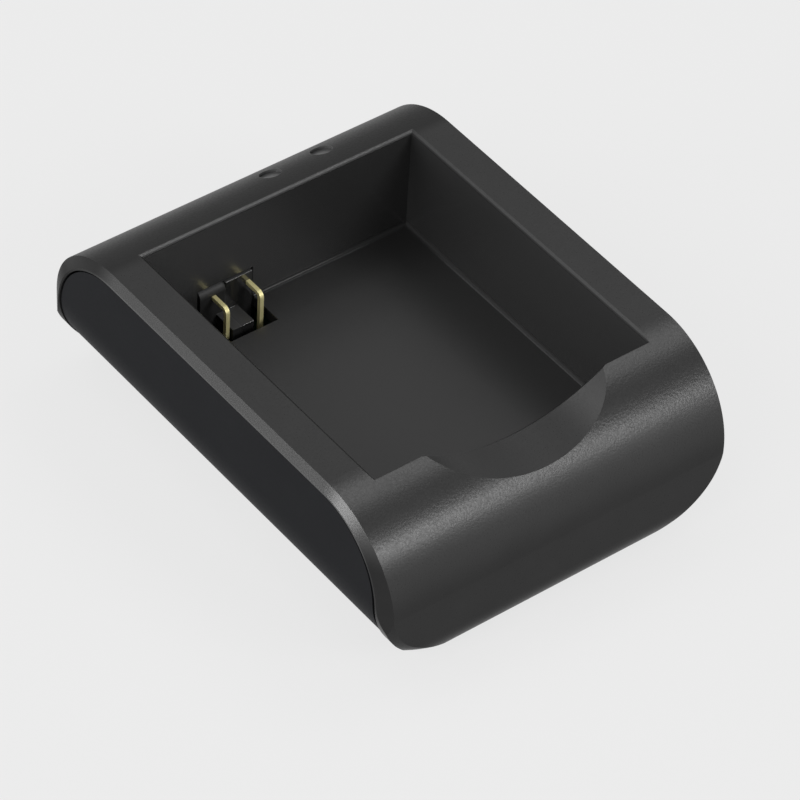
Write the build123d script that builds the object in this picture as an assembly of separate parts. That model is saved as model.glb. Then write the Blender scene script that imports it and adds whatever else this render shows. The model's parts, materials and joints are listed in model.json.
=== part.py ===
from build123d import *
import os

# Single-slot desk charger for a small camera battery.
# X runs across the charger, -Y is the thumb-notch end, +Z is up.
# The origin is in the middle of the underside, and all sizes are in millimetres.

# Battery pocket, which the whole charger is built around
pocket_width = 30.4
pocket_length = 34.5
pocket_depth = 11.4
pocket_shift = -0.55
pocket_floor_radius = 0.4
mouth_flare = 0.3
pocket_side_wall = 1.2
pocket_end_wall = 1.4
floor_thickness = 1.2

# Thumb notch through the front wall of the pocket
notch_width = 20.4
notch_depth = 2.95
notch_skin = 1.5

# Outer form of the housing
side_rail = 4.18
nose_reach = 8.34
nose_radius = 9.61
heel_radius = 3.83
flank_start = 9.84
flank_radius = 8.64
flank_angle = 40.0
bevel_drop = 0.93
bevel_drop_width = 0.47
bevel_end = 1.48
bevel_end_width = 0.88
corner_levels = (0.0, 2.0, 4.0, 6.5, 10.5)
corner_radii = (16.0, 11.2, 5.6, 3.1, 2.1)
corner_spare = 0.3
shell = 1.8
side_shell = 2.4

# Side panels, let into shallow recesses
panel_thickness = 1.2
panel_glue = 0.05
panel_rim = 0.2
panel_gap = 0.2
panel_front_gap = 0.45
panel_sink = 0.1
panel_foot = 2.6
panel_heel_radius = 2.5

# Base cover and the screws that hold it
cover_thickness = 1.6
cover_width = 25.8
cover_length = 42.0
cover_corner_radius = 2.5
cover_gap = 0.2
screw_inset_x = 2.3
screw_inset_y = 2.0
screw_diameter = 1.6
screw_pilot_diameter = 1.3
screw_grip = 5.0
screw_head_diameter = 3.2
screw_head_height = 0.8
screw_slot_width = 0.5
screw_slot_depth = 0.35
screw_clearance = 0.3
boss_diameter = 3.6

# Circuit board, clamped between posts of the housing and pads of the cover
board_thickness = 1.0
board_width = 21.6
board_tail_width = 16.4
board_front = -16.2
board_shoulder = 16.4
board_back_gap = 1.0
board_pad_height = 0.5
board_headroom = 2.3
post_diameter = 2.6
post_spread_x = 16.6
post_front = -13.0
post_back = 10.5
peg_diameter = 1.2
peg_gap = 0.15

# Contacts and the block that carries them
block_middle = -5.88
contact_offset = 0.5
contact_spacing = 3.85
contact_wire = 0.42
contact_bend_radius = 0.25
contact_top = 2.56
contact_reach = 2.48
contact_embed = 0.9
contact_tail = 0.25
block_width = 5.9
block_height = 3.5
block_thickness = 2.1
block_proud = 0.2
block_step = -0.1
block_round = 0.9
foot_middle = -5.75
foot_width = 2.4
foot_reach = 2.8
foot_rise = 0.05
block_gap = 0.2
window_front = 3.92
window_width = 6.54

# Indicator lights behind the pocket
led_first = 1.55
led_spacing = 5.85
led_setback = 3.55
led_diameter = 2.0
led_gap = 0.05
led_sink = 0.3
led_body = 4.0
led_flange_diameter = 2.5
led_flange_height = 0.6
led_lead = 0.4
led_lead_pitch = 1.27

# Micro-USB inlet
usb_middle = -4.2
usb_width = 7.5
usb_height = 2.5
usb_length = 5.2
usb_sheet = 0.25
usb_recess = 0.45
usb_taper = 0.7
usb_opening_gap = 0.25
usb_tongue_width = 3.7
usb_tongue_height = 0.6
usb_tongue_length = 3.2
usb_back_wall = 1.2
usb_pin_count = 5
usb_pin_pitch = 0.65
usb_pin_width = 0.3
usb_pin_height = 0.15

# Small parts on the board
controller_size = (2.9, 1.6, 1.1)
controller_place = (4.0, 6.5)
diode_size = (2.6, 1.6, 1.0)
diode_place = (-5.0, 4.5)
capacitor_size = (2.0, 1.25, 0.9)
capacitor_places = ((0.0, 9.5), (4.6, 10.6))
resistor_size = (1.6, 0.8, 0.45)
resistor_places = ((2.0, 2.5), (5.0, 2.5), (2.0, 13.0), (5.0, 13.6))

# Levels and outer sizes that follow from the values above
cover_top = cover_thickness
board_bottom = cover_top + board_pad_height
board_top = board_bottom + board_thickness
floor_bottom = board_top + board_headroom
floor_top = floor_bottom + floor_thickness
height = floor_top + pocket_depth
half_width = pocket_width / 2 + side_rail
half_length = pocket_length / 2 + nose_reach
pocket_back = pocket_shift + pocket_length / 2
pocket_front = pocket_shift - pocket_length / 2
screw_x = cover_width / 2 - screw_inset_x
screw_y = cover_length / 2 - screw_inset_y
usb_mouth = half_length - usb_recess
over = 1.0


def slab(x, y, z):
    """A box between two limits on each axis."""
    size = Box(x[1] - x[0], y[1] - y[0], z[1] - z[0])
    return Pos((x[0] + x[1]) / 2, (y[0] + y[1]) / 2, (z[0] + z[1]) / 2) * size


def post(x, y, z, diameter):
    """An upright cylinder between two heights."""
    return Pos(x, y, (z[0] + z[1]) / 2) * Cylinder(diameter / 2, z[1] - z[0])


def both_sides(half):
    """Closes half of an outline with its mirror image."""
    return make_face(half + mirror(half, Plane.YZ))


def nose_outline(reach, top, radius, bottom, heel):
    """Side view: a flat top, two round noses, upright ends and rounded heels."""
    roof = Line((0, top), (reach - radius, top))
    nose = JernArc(roof @ 1, roof % 1, radius, -90)
    end = Line(nose @ 1, (reach, bottom + heel))
    turn = JernArc(end @ 1, end % 1, heel, -90)
    base = Line(turn @ 1, (0, bottom))
    return both_sides(Curve() + [roof, nose, end, turn, base])


def panel_outline(inset):
    """Side view of the panels and, with no inset, of the flat that they are let into."""
    reach = half_length - bevel_end - inset
    top = height - bevel_drop - inset
    radius = nose_radius - bevel_end - inset
    return nose_outline(reach, top, radius, panel_foot + inset, panel_heel_radius)


def flank_block(inset):
    """Everything between the two flanks: upright sides that turn under towards the base."""
    side = half_width - inset
    roof = Line((0, height + over), (side, height + over))
    upright = Line(roof @ 1, (side, flank_start))
    turn = JernArc(upright @ 1, upright % 1, flank_radius - inset, -flank_angle)
    lean = turn % 1
    foot = Line(turn @ 1, turn @ 1 + lean * ((turn @ 1).Y + over) / -lean.Y)
    base = Line(foot @ 1, (0, -over))
    section = both_sides(Curve() + [roof, upright, turn, foot, base])
    return extrude(Plane.XZ * section, half_length + over, both=True)


def corner_block():
    """Rounds the four lower corners in plan, less and less from the base upwards."""
    side = half_width + corner_spare
    end = half_length + corner_spare
    sections = [
        Pos(0, 0, level) * RectangleRounded(2 * side, 2 * end, radius)
        for level, radius in zip(corner_levels, corner_radii)]
    return loft(sections) + slab((-side, side), (-end, end), (corner_levels[-1], height + over))


def bevel_block():
    """Cuts the bevels that lead from the roof and the noses to the two flat sides."""
    flat = nose_outline(
        half_length - bevel_end, height - bevel_drop, nose_radius - bevel_end, -heel_radius, heel_radius)
    rise = bevel_drop * (2 * bevel_end_width / bevel_drop_width - 1)
    brim = nose_outline(
        half_length + bevel_end, height + rise, nose_radius + bevel_end, -heel_radius, heel_radius)
    start = half_width - 2 * bevel_end_width
    return loft([
        Plane.YZ.offset(-half_width) * flat, Plane.YZ.offset(-start) * brim,
        Plane.YZ.offset(start) * brim, Plane.YZ.offset(half_width) * flat], ruled=True)


def outer_form():
    """The closed outer shape: the side outline drawn across, trimmed at the sides and the corners."""
    outline = nose_outline(half_length, height, nose_radius, 0, heel_radius)
    across = extrude(Plane.YZ * outline, half_width + over, both=True)
    return across & bevel_block() & flank_block(0) & corner_block()


def pocket_space():
    """The room for the battery, with a small radius round its floor and a flared mouth."""
    space = slab(
        (-pocket_width / 2, pocket_width / 2), (pocket_front, pocket_back), (floor_top, height + over))
    space = fillet(space.edges().group_by(Axis.Z)[0], pocket_floor_radius)
    inner = Pos(0, pocket_shift, height - mouth_flare) * Rectangle(pocket_width, pocket_length)
    outer = Pos(0, pocket_shift, height + mouth_flare) * Rectangle(
        pocket_width + 4 * mouth_flare, pocket_length + 4 * mouth_flare)
    return space + loft([inner, outer], ruled=True)


def notch_roll(radius_gain, front, back, flare=0):
    """A long cylinder or cone along Y that rolls the thumb notch out of the front wall."""
    radius = (notch_width ** 2 / 4 + notch_depth ** 2) / (2 * notch_depth)
    start = radius + radius_gain
    roll = Plane((0, front, height - notch_depth + radius), z_dir=(0, 1, 0)) * Pos(0, 0, (back - front) / 2)
    return roll * Cone(start, start + flare, back - front) if flare else roll * Cylinder(start, back - front)


def screw_places():
    return [(x, y) for x in (-screw_x, screw_x) for y in (-screw_y, screw_y)]


def post_places():
    return [(x, y) for x in (-post_spread_x / 2, post_spread_x / 2) for y in (post_front, post_back)]


def led_places():
    return [(led_first + i * led_spacing, pocket_back + led_setback) for i in range(2)]


def cover_opening(gap):
    outline = RectangleRounded(cover_width + 2 * gap, cover_length + 2 * gap, cover_corner_radius + gap)
    return extrude(outline, cover_thickness)


def make_housing(form):
    """One moulding: top, noses and side walls, with the pocket hanging inside it."""
    hollow = extrude(
        Plane.YZ * nose_outline(
            half_length - shell, height - shell, nose_radius - shell, cover_thickness, heel_radius - shell),
        half_width, both=True) & flank_block(side_shell)
    pocket_tub = slab(
        (-pocket_width / 2 - pocket_side_wall, pocket_width / 2 + pocket_side_wall),
        (pocket_front - pocket_end_wall, pocket_back + pocket_end_wall), (floor_bottom, height))
    front_nose = slab((-half_width, half_width), (-half_length, pocket_front), (cover_top, height))
    housing = form - hollow
    housing += form & pocket_tub
    housing += form & front_nose & notch_roll(notch_skin, -half_length, pocket_front)
    for x, y in screw_places():
        housing += post(x, y, (cover_top, height - shell), boss_diameter) & form
    housing -= pocket_space()
    housing -= notch_roll(0, -half_length - over, pocket_front + over)
    housing -= notch_roll(0, pocket_front - mouth_flare, pocket_front + mouth_flare, 2 * mouth_flare)
    for x, y in screw_places():
        housing -= post(x, y, (cover_top - over, cover_top + screw_grip), screw_pilot_diameter)
    for x, y in post_places():
        housing += post(x, y, (board_top, floor_bottom), post_diameter)
    for x, y in post_places()[1:3]:
        housing += post(x, y, (board_bottom, board_top), peg_diameter)
    housing -= cover_opening(cover_gap)
    recess = extrude(Plane.YZ * panel_outline(panel_rim), half_width + over, both=True)
    housing -= recess - flank_block(panel_thickness + panel_glue)
    housing -= contact_window()
    for x, y in led_places():
        housing -= post(x, y, (floor_top, height + over), led_diameter + 2 * led_gap)
    return housing - usb_opening()


def contact_window():
    """Opening in the floor and the back wall of the pocket for the contacts."""
    floor_cut = slab(
        (block_middle - window_width / 2, block_middle + window_width / 2),
        (pocket_back - window_front, pocket_back), (floor_bottom - over, floor_top + over))
    half_block = block_width / 2 + block_gap
    wall_cut = slab(
        (block_middle - half_block, block_middle + half_block),
        (pocket_back - over, pocket_back + pocket_end_wall + over),
        (floor_bottom - over, floor_top + block_height + block_gap))
    return floor_cut + wall_cut


def make_side_panel(form, side):
    """A thin moulded panel that follows the upright side and the turn under it."""
    outline = extrude(Plane.YZ * panel_outline(panel_rim + panel_gap), half_width + over, both=True)
    outline &= Pos(0, panel_front_gap - panel_gap, 0) * outline
    panels = (form & outline & flank_block(panel_sink)) - flank_block(panel_thickness)
    return panels.solids().sort_by(Axis.X)[0 if side < 0 else -1]


def make_base_cover():
    """A flat cover with counterbored screw holes and pads that carry the board."""
    cover = cover_opening(0)
    for x, y in post_places():
        cover += post(x, y, (cover_top, board_bottom), post_diameter)
    for x, y in screw_places():
        cover -= post(x, y, (-over, cover_top + over), screw_diameter + screw_clearance)
        cover -= post(x, y, (-over, screw_head_height), screw_head_diameter + screw_clearance)
    for x, y in post_places()[1:3]:
        cover -= post(x, y, (cover_top, board_bottom + over), peg_diameter + 2 * peg_gap)
    return cover


def make_screw(x, y):
    """A small self-tapping screw with a slotted head, entered from below."""
    head = post(x, y, (0, screw_head_height), screw_head_diameter)
    shank = post(x, y, (screw_head_height, cover_top), screw_diameter)
    thread = post(x, y, (cover_top, cover_top + screw_grip), screw_pilot_diameter)
    slot = Pos(x, y, 0) * Box(screw_head_diameter, screw_slot_width, 2 * screw_slot_depth)
    return head + shank + thread - slot


def make_circuit_board():
    """Board with a narrower tail between the rear screw bosses."""
    tail_end = half_length - shell - board_back_gap
    board = slab((-board_width / 2, board_width / 2), (board_front, board_shoulder), (board_bottom, board_top))
    board += slab(
        (-board_tail_width / 2, board_tail_width / 2), (board_shoulder, tail_end), (board_bottom, board_top))
    for x, y in post_places()[1:3]:
        board -= post(x, y, (board_bottom - over, board_top + over), peg_diameter + 2 * peg_gap)
    for x, y in led_lead_places():
        board -= lead_hole(x, y, led_lead)
    for x in contact_places():
        board -= lead_hole(x, pocket_back - contact_reach + contact_wire / 2, contact_wire)
    return board


def lead_hole(x, y, lead):
    return slab(
        (x - lead / 2, x + lead / 2), (y - lead / 2, y + lead / 2), (board_bottom - over, board_top + over))


def contact_places():
    middle = block_middle + contact_offset
    return [middle - contact_spacing / 2, middle + contact_spacing / 2]


def make_contact_block():
    """Black insulating block: an upright in the back wall, rounded on the left, and a foot in the floor window."""
    step = block_middle + block_step
    front = pocket_back - block_proud
    plate = slab(
        (step, block_middle + block_width / 2), (front, front + block_thickness),
        (board_top, floor_top + block_height))
    hood = slab(
        (block_middle - block_width / 2, step), (front, front + block_thickness),
        (board_top, floor_top + block_height))
    hood = fillet(hood.edges().group_by(Axis.Z)[-1].sort_by(Axis.Y)[0], block_round)
    foot = slab(
        (foot_middle - foot_width / 2, foot_middle + foot_width / 2), (pocket_back - foot_reach, front),
        (board_top, floor_top + foot_rise))
    block = plate + hood + foot
    for x in contact_places():
        block -= make_contact(x)
    return block


def make_contact(x):
    """A square wire: out of the block, over a bend, and down through the floor to the board."""
    half = contact_wire / 2
    arm_z = floor_top + contact_top - half
    leg_y = pocket_back - contact_reach + half
    root_y = pocket_back - block_proud + contact_embed
    path = FilletPolyline(
        (x, root_y, arm_z), (x, leg_y, arm_z), (x, leg_y, board_bottom - contact_tail),
        radius=contact_bend_radius + half)
    return sweep(Plane(path @ 0, z_dir=path % 0) * Rectangle(contact_wire, contact_wire), path)


def led_tip(y):
    """Height of the back nose over a light, less how far the light sits below it."""
    run = y - (half_length - nose_radius)
    rise = (nose_radius ** 2 - run ** 2) ** 0.5
    return height - nose_radius + rise - led_sink


def led_lead_places():
    return [(x, y + side * led_lead_pitch / 2) for x, y in led_places() for side in (-1, 1)]


def make_led(x, y):
    """Round lens with a flange at its foot, and a tip that follows the nose a little below it."""
    foot = led_tip(y) - led_body
    nose = nose_outline(half_length - led_sink, height - led_sink, nose_radius - led_sink, 0, heel_radius)
    lens = post(x, y, (foot, height), led_diameter) & extrude(Plane.YZ * nose, half_width, both=True)
    return lens + post(x, y, (foot, foot + led_flange_height), led_flange_diameter)


def make_led_leads(x, y):
    """Two straight leads from the lens down through the board."""
    foot = led_tip(y) - led_body
    leads = []
    for side in (-1, 1):
        place = y + side * led_lead_pitch / 2
        leads.append(slab(
            (x - led_lead / 2, x + led_lead / 2), (place - led_lead / 2, place + led_lead / 2),
            (board_bottom, foot)))
    return leads


def usb_outline(inset):
    """Mouth of the inlet: flat top, lower corners cut away."""
    half = usb_width / 2 - inset
    top = usb_height - inset
    cut = usb_taper
    points = [(-half, top), (-half, cut), (cut - half, inset), (half - cut, inset), (half, cut), (half, top)]
    return make_face(Polyline(*points, close=True))


def usb_place(y):
    return Plane((usb_middle, y, board_top), x_dir=(1, 0, 0), z_dir=(0, -1, 0))


def usb_opening():
    opening = usb_place(half_length + over) * offset(usb_outline(0), usb_opening_gap)
    return extrude(opening, nose_reach - pocket_end_wall)


def make_usb_shell():
    tube = extrude(usb_place(usb_mouth) * usb_outline(0), usb_length)
    return tube - extrude(usb_place(usb_mouth + over) * usb_outline(usb_sheet), usb_length + 2 * over)


def usb_tongue_levels():
    middle = board_top + usb_height / 2
    return middle - usb_tongue_height / 2, middle + usb_tongue_height / 2


def make_usb_insert():
    """Insulator: a block that closes the back of the shell, with the contact tongue in front."""
    back = usb_mouth - usb_length
    block = extrude(usb_place(back + usb_back_wall) * usb_outline(usb_sheet), usb_back_wall)
    tongue = slab(
        (usb_middle - usb_tongue_width / 2, usb_middle + usb_tongue_width / 2),
        (back + usb_back_wall, back + usb_back_wall + usb_tongue_length), usb_tongue_levels())
    return block + tongue


def make_usb_pins():
    """Flat contacts on the underside of the tongue."""
    start = usb_mouth - usb_length + usb_back_wall
    level = usb_tongue_levels()[0]
    pins = []
    for i in range(usb_pin_count):
        x = usb_middle + (i - (usb_pin_count - 1) / 2) * usb_pin_pitch
        pins.append(slab(
            (x - usb_pin_width / 2, x + usb_pin_width / 2), (start, start + usb_tongue_length - usb_pin_width),
            (level - usb_pin_height, level)))
    return pins


def on_board(place, size):
    """A small packaged part that sits on the board, with its top edges broken."""
    part = slab(
        (place[0] - size[0] / 2, place[0] + size[0] / 2), (place[1] - size[1] / 2, place[1] + size[1] / 2),
        (board_top, board_top + size[2]))
    return chamfer(part.edges().group_by(Axis.Z)[-1], size[2] / 8)


form = outer_form()
left_contact, right_contact = contact_places()
charging_place, charged_place = led_places()
parts = {
    "housing": make_housing(form),
    "left_side_panel": make_side_panel(form, -1),
    "right_side_panel": make_side_panel(form, 1),
    "base_cover": make_base_cover(),
    "cover_screws": Compound([make_screw(x, y) for x, y in screw_places()]),
    "circuit_board": make_circuit_board(),
    "contact_block": make_contact_block(),
    "negative_contact": make_contact(left_contact),
    "positive_contact": make_contact(right_contact),
    "charging_led": make_led(*charging_place),
    "charging_led_leads": Compound(make_led_leads(*charging_place)),
    "charged_led": make_led(*charged_place),
    "charged_led_leads": Compound(make_led_leads(*charged_place)),
    "usb_socket_shell": make_usb_shell(),
    "usb_socket_insert": make_usb_insert(),
    "usb_socket_pins": Compound(make_usb_pins()),
    "charge_controller": on_board(controller_place, controller_size),
    "input_diode": on_board(diode_place, diode_size),
    "input_capacitor": on_board(capacitor_places[0], capacitor_size),
    "output_capacitor": on_board(capacitor_places[1], capacitor_size),
    "resistors": Compound([on_board(place, resistor_size) for place in resistor_places]),
}
os.makedirs("parts", exist_ok=True)
for name, shape in parts.items():
    export_step(shape, f"parts/{name}.step")
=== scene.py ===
import json
from math import cos, radians, sin

import bpy
from mathutils import Matrix, Vector

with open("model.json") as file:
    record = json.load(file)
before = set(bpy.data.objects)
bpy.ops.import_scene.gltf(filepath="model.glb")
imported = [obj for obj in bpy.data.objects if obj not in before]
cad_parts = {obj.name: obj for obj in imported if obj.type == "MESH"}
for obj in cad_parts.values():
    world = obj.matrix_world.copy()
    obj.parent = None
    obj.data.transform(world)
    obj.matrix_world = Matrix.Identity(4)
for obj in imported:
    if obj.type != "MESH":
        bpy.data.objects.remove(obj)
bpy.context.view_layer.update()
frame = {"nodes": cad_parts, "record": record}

# Looks of a black desk charger for a camera battery. All lengths are in metres, in the model's own frame:
# X runs across the charger, -Y is the thumb-notch end, +Z is up and the floor is at zero.

MM = 0.001

# Camera: where it looks from, and the point that it looks at
CAMERA_AZIMUTH = radians(39.82)
CAMERA_ELEVATION = radians(43.49)
CAMERA_ROLL = radians(3.61)
CAMERA_DISTANCE = 418.8 * MM
CAMERA_FOCUS = Vector((-3.147, -6.064, 11.408)) * MM
CAMERA_LENS = 211.5
CAMERA_SENSOR = 36.0
CAMERA_REACH = 20.0

# Floor
FLOOR_SIZE = 6.0
FLOOR_DROP = 0.02 * MM
FLOOR_COLOUR = 0.69
FLOOR_ROUGHNESS = 0.9
FLOOR_GLOW = 0.84
FLOOR_GLOW_SHARE = 0.88

# Lamps: azimuth from +X and elevation in degrees, width, height and power
LAMP_DISTANCE = 1.0
LAMPS = {
    "front_lamp": (293, 30, 0.42, 0.26, 3.6),
    "front_low_lamp": (312, 10, 0.50, 0.25, 0.4),
    "front_left_lamp": (240, 30, 0.50, 0.40, 0.4),
    "left_lamp": (165, 7, 0.36, 0.30, 4.7),
    "left_high_lamp": (200, 38, 0.50, 0.40, 2.9),
    "left_back_high_lamp": (155, 38, 0.50, 0.40, 0.9),
    "back_left_lamp": (138, 9, 0.45, 0.28, 0.25),
    "top_lamp": (17, 61, 0.50, 0.35, 1.6),
    "overhead_lamp": (120, 65, 0.50, 0.40, 1.45),
}
WORLD_STRENGTH = 0.44

# Battery pocket: half of its width and length, middle along Y, floor, start of its flared mouth, and the
# height in the flare up to which the pocket's finish goes
POCKET_HALF_WIDTH = 15.2 * MM
POCKET_HALF_LENGTH = 17.25 * MM
POCKET_MIDDLE = -0.55 * MM
POCKET_FLOOR = 6.6 * MM
POCKET_FLOOR_RADIUS = 0.4 * MM
POCKET_FLARE = 17.60 * MM
POCKET_TOP = 17.80 * MM

# How far the finishes of the pocket and of its lip reach past its walls, and how softly they end
POCKET_MARGIN = 0.12 * MM
LIP_MARGIN = 0.32 * MM
FINISH_BLUR = 0.04 * MM
FLARE_BLUR = 0.05 * MM
RADIUS_BLUR = 0.04 * MM

# Holes of the two lights behind the pocket
LIGHT_HALF_SPACING = 2.925 * MM
LIGHT_MIDDLE = (4.475 * MM, 20.25 * MM)
LIGHT_HOLE_RADIUS = 1.05 * MM

# Greys of the housing
OUTSIDE_GREYS = (0.0155, 0.0215)
# Painted light: the walls of the light holes are a lighter grey than the housing, standing in for the light
# that their own shadow keeps off
HOLE_WALL_PAINTED_LIGHT_GREY = 0.075
# Painted light: the pocket's end wall and, lighter still, its side walls are greyer than its floor, and the
# side walls are lightest at their foot, standing in for fill light in the pocket
END_WALL_PAINTED_LIGHT_GREY = 0.0230
SIDE_WALL_PAINTED_LIGHT_GREYS = (0.036, 0.0245)
FLARE_GREY = 0.016
POCKET_FLOOR_GREY = 0.0155

# Roughness and grain of the housing
GRAIN_SIZE = 0.22 * MM
GRAIN_DEPTH = 0.0135 * MM
CLOUD_SIZE = 3.5 * MM
OUTSIDE_ROUGHNESS = (0.27, 0.36)
BEVEL_ROUGHNESS = 0.27
WALL_ROUGHNESS = 0.24
POCKET_FLOOR_ROUGHNESS = 0.34
POCKET_SPECULAR = 0.60
POCKET_RADIUS_SPECULAR = 0.15
MIDDLE_SPECULAR = 0.30

# Ramps: start and stop of a change of finish, and the values before and after it
BEVEL_BY_FACING_X = (0.60, 0.80, 0.0, 1.0)
LEVEL_BY_FACING_Z = (0.75, 1.0, 0.0, 1.0)
END_WALL_GLOSS_BY_FACING_Y = (0.75, 1.0, 1.0, 1.4)
NOTCH_BY_FACING_Y = (0.06, 0.12, 1.0, 0.0)
NOTCH_BY_Z = (17.85 * MM, 17.95 * MM, 1.0, 0.0)
NOTCH_BLUR = 0.1 * MM
HOLE_WALL_PAINTED_LIGHT_BY_GAP = (0.01 * MM, 0.04 * MM, 1.0, 0.0)
SIDE_WALL_PAINTED_LIGHT_BY_Z = (7.0 * MM, 17.0 * MM, 0.0, 1.0)
GLOSS_BY_Z = (8.5 * MM, 13.4 * MM, 0.07, 0.42)
GLOSS_FALL_BY_Y = (15.5 * MM, 17.0 * MM, 1.0, 0.40)
GLOSS_RISE_BY_Y = (19.0 * MM, 22.5 * MM, 0.40, 0.75)
LIP_GLOSS_BY_Y = (15.5 * MM, 17.0 * MM, 1.0, 1.2)
BEVEL_GLOSS_BY_Z = (13.2 * MM, 16.5 * MM, 0.05, 0.60)
BEVEL_GLOSS_BY_Y = (15.0 * MM, 18.5 * MM, 1.0, 0.10)
DULL_BY_Y = (15.5 * MM, 19.0 * MM, 0.0, 0.14)
GRAIN_BY_Z = (9.0 * MM, 13.0 * MM, 0.35, 1.0)
GRAIN_BY_X = (-14.0 * MM, 14.0 * MM, 0.75, 1.05)
SMOOTH_GRAIN_BY_LEVEL = (0.0, 1.0, 0.10, 0.30)
FLARE_GLOSS = 0.25

# Contact block: greys of its sides and of its top, which is painted lighter as painted light, and how its
# finish changes beside the hood at its left
BLOCK_SIDE_AND_PAINTED_TOP_GREYS = (0.017, 0.050)
BLOCK_ROUGHNESS_BY_X = (-6.1 * MM, -5.9 * MM, 0.50, 0.14)
BLOCK_SPECULAR_BY_X = (-6.1 * MM, -5.9 * MM, 0.25, 0.80)
BLOCK_EDGE_RADIUS = 0.12 * MM
BLOCK_GRAIN_SIZE = 0.4 * MM
BLOCK_GRAIN_DEPTH = 0.01 * MM

# Other plastics, the board and the ceramics: dark and light colour, range of roughness, size and depth of
# the grain, specular level
PLASTIC_CLOUD_SIZE = 6.0 * MM
PLASTICS = {
    # The panel's dark grey is its own; its slight blue tint is a painted reflection of the surroundings
    "panel_plastic": (
        (0.0119, 0.0123, 0.0134), (0.0143, 0.0147, 0.0160), (0.38, 0.46), 0.30 * MM, 0.004 * MM, 0.01),
    "cover_plastic": (
        (0.018, 0.018, 0.018), (0.024, 0.024, 0.024), (0.36, 0.48), 0.22 * MM, 0.012 * MM, 0.32),
    "socket_plastic": (
        (0.010, 0.010, 0.010), (0.014, 0.014, 0.014), (0.40, 0.50), 0.30 * MM, 0.004 * MM, 0.4),
    "chip_plastic": (
        (0.012, 0.012, 0.012), (0.018, 0.018, 0.018), (0.45, 0.55), 0.15 * MM, 0.006 * MM, 0.4),
    "board_laminate": (
        (0.007, 0.026, 0.014), (0.009, 0.034, 0.018), (0.30, 0.40), 0.80 * MM, 0.004 * MM, 0.5),
    "capacitor_ceramic": (
        (0.30, 0.22, 0.13), (0.36, 0.27, 0.17), (0.40, 0.50), 0.20 * MM, 0.004 * MM, 0.4),
    # Painted light: the lens is a lighter grey than the housing, standing in for the light that the shadow of
    # its hole keeps off
    "led_lens": (
        (0.055, 0.055, 0.055), (0.065, 0.065, 0.065), (0.28, 0.36), 0.60 * MM, 0.002 * MM, 0.3),
}

# Metals: dark and light colour, range of roughness, size of the grain, metallic share
METAL_BUMP_SHARE = 0.025
METALS = {
    "contact_brass": ((0.80, 0.73, 0.37), (0.89, 0.81, 0.42), (0.44, 0.54), 0.25 * MM, 0.55),
    "pin_brass": ((0.65, 0.48, 0.18), (0.75, 0.57, 0.24), (0.18, 0.28), 0.25 * MM, 1.0),
    "screw_steel": ((0.10, 0.10, 0.10), (0.15, 0.15, 0.15), (0.30, 0.42), 0.25 * MM, 1.0),
    "socket_steel": ((0.55, 0.55, 0.54), (0.64, 0.64, 0.63), (0.24, 0.34), 0.35 * MM, 1.0),
    "tinned_metal": ((0.58, 0.58, 0.57), (0.68, 0.68, 0.67), (0.22, 0.32), 0.25 * MM, 1.0),
}

# Noises: detail and roughness of each kind, the part of the range that most of a noise lies in, and the
# share of noise in the housing's pits
CLOUD_NOISE = (4.0, 0.6)
PIT_NOISE = (4.0, 0.75)
GRAIN_NOISE = (3.0, 0.6)
SOFT_NOISE = (3.0, 0.5)
NOISE_RANGE = (0.3, 0.7)
PIT_NOISE_SHARE = 0.5


def new_material(name):
    """A material with a principled shader and nothing else."""
    material = bpy.data.materials.new(name)
    material.use_nodes = True
    tree = material.node_tree
    tree.nodes.clear()
    output = tree.nodes.new("ShaderNodeOutputMaterial")
    shader = tree.nodes.new("ShaderNodeBsdfPrincipled")
    tree.links.new(shader.outputs["BSDF"], output.inputs["Surface"])
    return material, tree, shader


def feed(tree, socket, value):
    """Sets a socket to a number or a colour, or links it to an output of another node."""
    if isinstance(value, (int, float)):
        socket.default_value = value
    elif isinstance(value, tuple):
        socket.default_value = (*value, 1.0)
    else:
        tree.links.new(value, socket)


def grey(level):
    """A colour with the same red, green and blue."""
    return level, level, level


def object_place(tree):
    """Coordinates on the object itself, in metres."""
    return tree.nodes.new("ShaderNodeTexCoord").outputs["Object"]


def along_axes(tree, vector):
    """The three parts of a place or a direction."""
    node = tree.nodes.new("ShaderNodeSeparateXYZ")
    tree.links.new(vector, node.inputs["Vector"])
    return node.outputs["X"], node.outputs["Y"], node.outputs["Z"]


def maths(tree, operation, *values):
    """One sum on values, each a number or an output of another node."""
    node = tree.nodes.new("ShaderNodeMath")
    node.operation = operation
    for socket, value in zip(node.inputs, values):
        feed(tree, socket, value)
    return node.outputs["Value"]


def largest(tree, first, *others):
    """The largest of several values."""
    for value in others:
        first = maths(tree, "MAXIMUM", first, value)
    return first


def product(tree, first, *others):
    """Several values multiplied."""
    for value in others:
        first = maths(tree, "MULTIPLY", first, value)
    return first


def ramp(tree, value, start, stop, low, high):
    """Takes a value softly from the range start to stop to the range low to high."""
    node = tree.nodes.new("ShaderNodeMapRange")
    node.interpolation_type = "SMOOTHSTEP"
    for socket, number in (("From Min", start), ("From Max", stop), ("To Min", low), ("To Max", high)):
        node.inputs[socket].default_value = number
    tree.links.new(value, node.inputs["Value"])
    return node.outputs["Result"]


def spread(tree, value, low, high):
    """Takes the middle of a noise evenly to the range from low to high."""
    node = tree.nodes.new("ShaderNodeMapRange")
    for socket, number in zip(("From Min", "From Max", "To Min", "To Max"), (*NOISE_RANGE, low, high)):
        node.inputs[socket].default_value = number
    tree.links.new(value, node.inputs["Value"])
    return node.outputs["Result"]


def mixed(tree, share, first, second, kind):
    """A mix of two values or colours, each given as such or as an output of another node."""
    node = tree.nodes.new("ShaderNodeMix")
    node.data_type = kind
    for socket, value in (("Factor", share), ("A", first), ("B", second)):
        feed(tree, node.inputs[socket], value)
    return node.outputs["Result"]


def mixed_value(tree, share, first, second):
    """A mix of two values."""
    return mixed(tree, share, first, second, "FLOAT")


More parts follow.
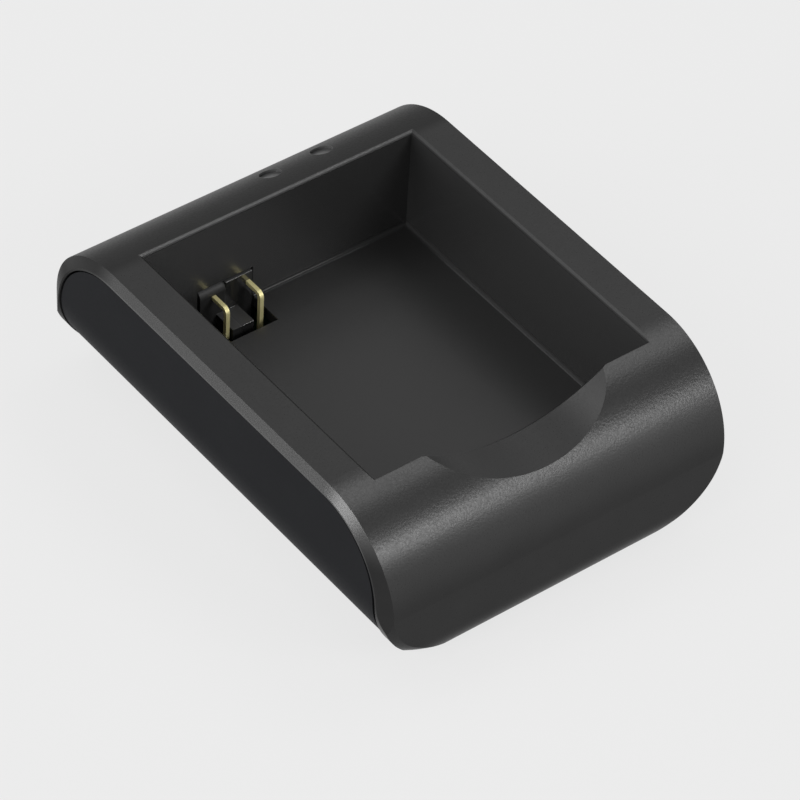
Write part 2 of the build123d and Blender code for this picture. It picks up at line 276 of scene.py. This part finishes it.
def mixed_colour(tree, share, first, second):
    """A mix of two colours."""
    return mixed(tree, share, first, second, "RGBA")


def noise(tree, place, size, detail, roughness):
    """Noise whose bumps are about size metres across."""
    node = tree.nodes.new("ShaderNodeTexNoise")
    node.inputs["Scale"].default_value = 1 / size
    node.inputs["Detail"].default_value = detail
    node.inputs["Roughness"].default_value = roughness
    tree.links.new(place, node.inputs["Vector"])
    return node.outputs["Fac"]


def pitted(tree, place, size):
    """Uneven pits about size metres across, as spark erosion leaves them in a mould."""
    cells = tree.nodes.new("ShaderNodeTexVoronoi")
    cells.inputs["Scale"].default_value = 1 / size
    tree.links.new(place, cells.inputs["Vector"])
    return mixed_value(tree, PIT_NOISE_SHARE, cells.outputs["Distance"], noise(tree, place, size, *PIT_NOISE))


def bump(tree, shader, height, depth, strength=1.0):
    """Roughens the surface by a height, and gives the node that does it."""
    node = tree.nodes.new("ShaderNodeBump")
    node.inputs["Distance"].default_value = depth
    feed(tree, node.inputs["Strength"], strength)
    tree.links.new(height, node.inputs["Height"])
    tree.links.new(node.outputs["Normal"], shader.inputs["Normal"])
    return node


def facing(tree, axis):
    """How far the surface faces along an axis, either way."""
    normal = tree.nodes.new("ShaderNodeNewGeometry").outputs["Normal"]
    return maths(tree, "ABSOLUTE", along_axes(tree, normal)["XYZ".index(axis)])


def pocket_share(tree, x, y, z):
    """One on the walls and the floor of the battery pocket, and zero outside it."""
    across = maths(tree, "SUBTRACT", maths(tree, "ABSOLUTE", x), POCKET_HALF_WIDTH)
    along = maths(tree, "ABSOLUTE", maths(tree, "SUBTRACT", y, POCKET_MIDDLE))
    along = maths(tree, "SUBTRACT", along, POCKET_HALF_LENGTH)
    above = maths(tree, "SUBTRACT", z, POCKET_TOP - POCKET_MARGIN - FINISH_BLUR / 2)
    below = maths(tree, "SUBTRACT", POCKET_FLOOR, z)
    outside = largest(tree, across, along, above, below)
    return ramp(tree, outside, POCKET_MARGIN, POCKET_MARGIN + FINISH_BLUR, 1.0, 0.0)


def flare_ramp(tree, z, low, high):
    """Changes from low to high where the pocket's flared mouth starts."""
    return ramp(tree, z, POCKET_FLARE, POCKET_FLARE + FLARE_BLUR, low, high)


def lip_share(tree, x, y):
    """One inside the outline of the pocket's flared mouth, and zero beside and behind it."""
    across = maths(tree, "SUBTRACT", maths(tree, "ABSOLUTE", x), POCKET_HALF_WIDTH)
    behind = maths(tree, "SUBTRACT", maths(tree, "SUBTRACT", y, POCKET_MIDDLE), POCKET_HALF_LENGTH)
    return ramp(tree, largest(tree, across, behind), LIP_MARGIN, LIP_MARGIN + FINISH_BLUR, 1.0, 0.0)


def notch_share(tree, y, z):
    """One on the thumb notch, which runs straight along Y in front of the pocket."""
    front = POCKET_MIDDLE - POCKET_HALF_LENGTH
    ahead = ramp(tree, y, front - NOTCH_BLUR, front, 1.0, 0.0)
    straight = ramp(tree, facing(tree, "Y"), *NOTCH_BY_FACING_Y)
    return product(tree, ahead, straight, ramp(tree, z, *NOTCH_BY_Z))


def hole_wall_painted_light_share(tree, x, y):
    """One on the walls of the holes of the two lights, where painted light lightens their shade."""
    across = maths(tree, "ABSOLUTE", maths(tree, "SUBTRACT", x, LIGHT_MIDDLE[0]))
    across = maths(tree, "SUBTRACT", across, LIGHT_HALF_SPACING)
    along = maths(tree, "SUBTRACT", y, LIGHT_MIDDLE[1])
    squares = maths(tree, "ADD", product(tree, across, across), product(tree, along, along))
    gap = maths(tree, "SUBTRACT", maths(tree, "SQRT", squares), LIGHT_HOLE_RADIUS)
    return ramp(tree, gap, *HOLE_WALL_PAINTED_LIGHT_BY_GAP)


def housing_gloss(tree, bevel, x, y, z):
    """Specular level outside the pocket: lower towards the base and behind the pocket, but not on its lip."""
    back = largest(tree, ramp(tree, y, *GLOSS_FALL_BY_Y), ramp(tree, y, *GLOSS_RISE_BY_Y))
    lip = product(tree, lip_share(tree, x, y), ramp(tree, y, *LIP_GLOSS_BY_Y))
    plain = product(tree, ramp(tree, z, *GLOSS_BY_Z), largest(tree, back, lip))
    bevelled = product(tree, ramp(tree, z, *BEVEL_GLOSS_BY_Z), ramp(tree, y, *BEVEL_GLOSS_BY_Y))
    return mixed_value(tree, bevel, plain, bevelled)


def pocket_gloss(tree, z):
    """Specular level in the pocket, lower in the radius round its floor and in its flared mouth."""
    above_floor = maths(tree, "SUBTRACT", z, POCKET_FLOOR)
    lower = ramp(tree, above_floor, 0.0, RADIUS_BLUR, POCKET_SPECULAR, POCKET_RADIUS_SPECULAR)
    upper = ramp(tree, above_floor, POCKET_FLOOR_RADIUS - RADIUS_BLUR, POCKET_FLOOR_RADIUS + RADIUS_BLUR,
                 POCKET_RADIUS_SPECULAR, POCKET_SPECULAR)
    end_wall = ramp(tree, facing(tree, "Y"), *END_WALL_GLOSS_BY_FACING_Y)
    return product(tree, largest(tree, lower, upper), end_wall, flare_ramp(tree, z, 1.0, FLARE_GLOSS))


def outside_colour(tree, place, x, y):
    """Colour of the housing outside the pocket, with painted light that lightens the shaded walls of the
    holes of the lights.
    """
    dark, light = OUTSIDE_GREYS
    plain = mixed_colour(tree, noise(tree, place, CLOUD_SIZE, *CLOUD_NOISE), grey(dark), grey(light))
    return mixed_colour(tree, hole_wall_painted_light_share(tree, x, y), plain, grey(HOLE_WALL_PAINTED_LIGHT_GREY))


def pocket_colour_with_painted_light(tree, level, z):
    """Colour of the pocket's floor, its end and side walls, and its flared mouth, with painted light that
    makes the walls lighter than the floor by the way they face, and the side walls lighter towards their
    foot.
    """
    low, high = SIDE_WALL_PAINTED_LIGHT_GREYS
    side_wall = mixed_colour(tree, ramp(tree, z, *SIDE_WALL_PAINTED_LIGHT_BY_Z), grey(low), grey(high))
    wall = mixed_colour(tree, facing(tree, "X"), grey(END_WALL_PAINTED_LIGHT_GREY), side_wall)
    wall = mixed_colour(tree, flare_ramp(tree, z, 0.0, 1.0), wall, grey(FLARE_GREY))
    return mixed_colour(tree, level, wall, grey(POCKET_FLOOR_GREY))


def housing_plastic(name):
    """Black plastic: grained on top and round the noses, smooth on bevels and notch, satin in the pocket."""
    material, tree, shader = new_material(name)
    place = object_place(tree)
    x, y, z = along_axes(tree, place)
    pocket = pocket_share(tree, x, y, z)
    bevel = ramp(tree, facing(tree, "X"), *BEVEL_BY_FACING_X)
    level = ramp(tree, facing(tree, "Z"), *LEVEL_BY_FACING_Z)
    fine = pitted(tree, place, GRAIN_SIZE)

    colour = mixed_colour(tree, pocket, outside_colour(tree, place, x, y), pocket_colour_with_painted_light(tree, level, z))
    tree.links.new(colour, shader.inputs["Base Color"])

    rough = maths(tree, "ADD", spread(tree, fine, *OUTSIDE_ROUGHNESS), ramp(tree, y, *DULL_BY_Y))
    rough = mixed_value(tree, bevel, rough, BEVEL_ROUGHNESS)
    pocket_rough = mixed_value(tree, level, WALL_ROUGHNESS, POCKET_FLOOR_ROUGHNESS)
    tree.links.new(mixed_value(tree, pocket, rough, pocket_rough), shader.inputs["Roughness"])

    gloss = mixed_value(tree, pocket, housing_gloss(tree, bevel, x, y, z), pocket_gloss(tree, z))
    shader.inputs["Specular IOR Level"].default_value = MIDDLE_SPECULAR
    tree.links.new(gloss, shader.inputs["Specular IOR Level"])

    smooth = largest(tree, pocket, bevel, notch_share(tree, y, z))
    outer_grain = product(tree, ramp(tree, z, *GRAIN_BY_Z), ramp(tree, x, *GRAIN_BY_X))
    grain = mixed_value(tree, smooth, outer_grain, ramp(tree, level, *SMOOTH_GRAIN_BY_LEVEL))
    bump(tree, shader, fine, GRAIN_DEPTH, grain)
    return material


def block_plastic(name):
    """Glossy black insulator with soft edges, duller on the rounded hood at its left, with painted light
    making it greyer on top.
    """
    material, tree, shader = new_material(name)
    place = object_place(tree)
    x = along_axes(tree, place)[0]
    side, top = BLOCK_SIDE_AND_PAINTED_TOP_GREYS
    # Painted light: faces that point up get a lighter grey than the sides
    tree.links.new(mixed_colour(tree, facing(tree, "Z"), grey(side), grey(top)), shader.inputs["Base Color"])
    tree.links.new(ramp(tree, x, *BLOCK_ROUGHNESS_BY_X), shader.inputs["Roughness"])
    tree.links.new(ramp(tree, x, *BLOCK_SPECULAR_BY_X), shader.inputs["Specular IOR Level"])
    edges = tree.nodes.new("ShaderNodeBevel")
    edges.inputs["Radius"].default_value = BLOCK_EDGE_RADIUS
    grain = bump(tree, shader, noise(tree, place, BLOCK_GRAIN_SIZE, *SOFT_NOISE), BLOCK_GRAIN_DEPTH)
    tree.links.new(edges.outputs["Normal"], grain.inputs["Normal"])
    return material


def grained_plastic(name, dark, light, rough, grain, depth, specular):
    """Moulded plastic, or a laminate or ceramic, with a fine grain."""
    material, tree, shader = new_material(name)
    place = object_place(tree)
    cloud = noise(tree, place, PLASTIC_CLOUD_SIZE, *SOFT_NOISE)
    tree.links.new(mixed_colour(tree, cloud, dark, light), shader.inputs["Base Color"])
    fine = noise(tree, place, grain, *GRAIN_NOISE)
    tree.links.new(spread(tree, fine, *rough), shader.inputs["Roughness"])
    shader.inputs["Specular IOR Level"].default_value = specular
    bump(tree, shader, fine, depth)
    return material


def metal(name, dark, light, rough, grain, metallic):
    """Drawn or stamped metal with slight variations of tone."""
    material, tree, shader = new_material(name)
    place = object_place(tree)
    cloud = noise(tree, place, grain, *SOFT_NOISE)
    tree.links.new(mixed_colour(tree, cloud, dark, light), shader.inputs["Base Color"])
    tree.links.new(spread(tree, cloud, *rough), shader.inputs["Roughness"])
    shader.inputs["Metallic"].default_value = metallic
    bump(tree, shader, cloud, METAL_BUMP_SHARE * grain)
    return material


def make_materials():
    """One finish for each material slot of the record."""
    materials = {"housing_plastic": housing_plastic("housing_plastic")}
    materials["block_plastic"] = block_plastic("block_plastic")
    for name, finish in PLASTICS.items():
        materials[name] = grained_plastic(name, *finish)
    for name, finish in METALS.items():
        materials[name] = metal(name, *finish)
    return materials


def dress_nodes(materials):
    """Gives each solid the finish of its slot in the record."""
    for part in frame["record"]["subparts"]:
        mesh = frame["nodes"][part["node"]].data
        mesh.materials.clear()
        mesh.materials.append(materials[part["material_slot"]])


def seen_share(tree):
    """The glow's share of the floor for rays that see it directly, in a reflection or through glass."""
    path = tree.nodes.new("ShaderNodeLightPath").outputs
    seen = largest(tree, path["Is Camera Ray"], path["Is Glossy Ray"], path["Is Transmission Ray"])
    return product(tree, seen, FLOOR_GLOW_SHARE)


def mixed_shader(tree, share, first, second):
    """A mix of two shaders."""
    node = tree.nodes.new("ShaderNodeMixShader")
    tree.links.new(share, node.inputs["Fac"])
    tree.links.new(first, node.inputs[1])
    tree.links.new(second, node.inputs[2])
    return node.outputs["Shader"]


def make_floor():
    """A pale floor that takes the charger's shadow, and can be seen through from below."""
    bpy.ops.mesh.primitive_plane_add(size=FLOOR_SIZE, location=(0.0, 0.0, -FLOOR_DROP))
    floor = bpy.context.object
    floor.name = "floor"
    material, tree, shader = new_material("floor_paper")
    shader.inputs["Base Color"].default_value = (*grey(FLOOR_COLOUR), 1.0)
    shader.inputs["Roughness"].default_value = FLOOR_ROUGHNESS
    shader.inputs["Specular IOR Level"].default_value = 0.0
    glow = tree.nodes.new("ShaderNodeEmission")
    glow.inputs["Strength"].default_value = FLOOR_GLOW
    paper = mixed_shader(tree, seen_share(tree), shader.outputs["BSDF"], glow.outputs["Emission"])
    below = tree.nodes.new("ShaderNodeNewGeometry").outputs["Backfacing"]
    clear = tree.nodes.new("ShaderNodeBsdfTransparent").outputs["BSDF"]
    surface = tree.nodes["Material Output"].inputs["Surface"]
    tree.links.new(mixed_shader(tree, below, paper, clear), surface)
    floor.data.materials.append(material)


def make_lamps():
    """Soft rectangular lamps that face the charger."""
    for name, (azimuth, elevation, width, height, power) in LAMPS.items():
        light = bpy.data.lights.new(name, "AREA")
        light.shape = "RECTANGLE"
        light.size = width
        light.size_y = height
        light.energy = power
        lamp = bpy.data.objects.new(name, light)
        around, above = radians(azimuth), radians(elevation)
        toward = Vector((cos(around) * cos(above), sin(around) * cos(above), sin(above)))
        lamp.location = CAMERA_FOCUS + LAMP_DISTANCE * toward
        lamp.rotation_euler = toward.to_track_quat("Z", "Y").to_euler()
        bpy.context.scene.collection.objects.link(lamp)


def make_world():
    """Even white light from all round."""
    world = bpy.data.worlds.new("studio")
    world.use_nodes = True
    background = world.node_tree.nodes["Background"]
    background.inputs["Color"].default_value = (1.0, 1.0, 1.0, 1.0)
    background.inputs["Strength"].default_value = WORLD_STRENGTH
    bpy.context.scene.world = world


def make_camera():
    """The camera at the photograph's viewing angle."""
    forward = Vector((
        sin(CAMERA_AZIMUTH) * cos(CAMERA_ELEVATION), cos(CAMERA_AZIMUTH) * cos(CAMERA_ELEVATION),
        -sin(CAMERA_ELEVATION)))
    level = Vector((cos(CAMERA_AZIMUTH), -sin(CAMERA_AZIMUTH), 0.0))
    upward = level.cross(forward)
    right = cos(CAMERA_ROLL) * level + sin(CAMERA_ROLL) * upward
    up = cos(CAMERA_ROLL) * upward - sin(CAMERA_ROLL) * level
    turn = Matrix((right, up, -forward)).transposed().to_4x4()
    data = bpy.data.cameras.new("camera")
    data.lens = CAMERA_LENS
    data.sensor_width = CAMERA_SENSOR
    data.clip_end = CAMERA_REACH
    camera = bpy.data.objects.new("camera", data)
    camera.matrix_world = Matrix.Translation(CAMERA_FOCUS - CAMERA_DISTANCE * forward) @ turn
    bpy.context.scene.collection.objects.link(camera)
    bpy.context.scene.camera = camera


dress_nodes(make_materials())
make_floor()
make_lamps()
make_world()
make_camera()
bpy.context.scene.view_settings.view_transform = "Standard"
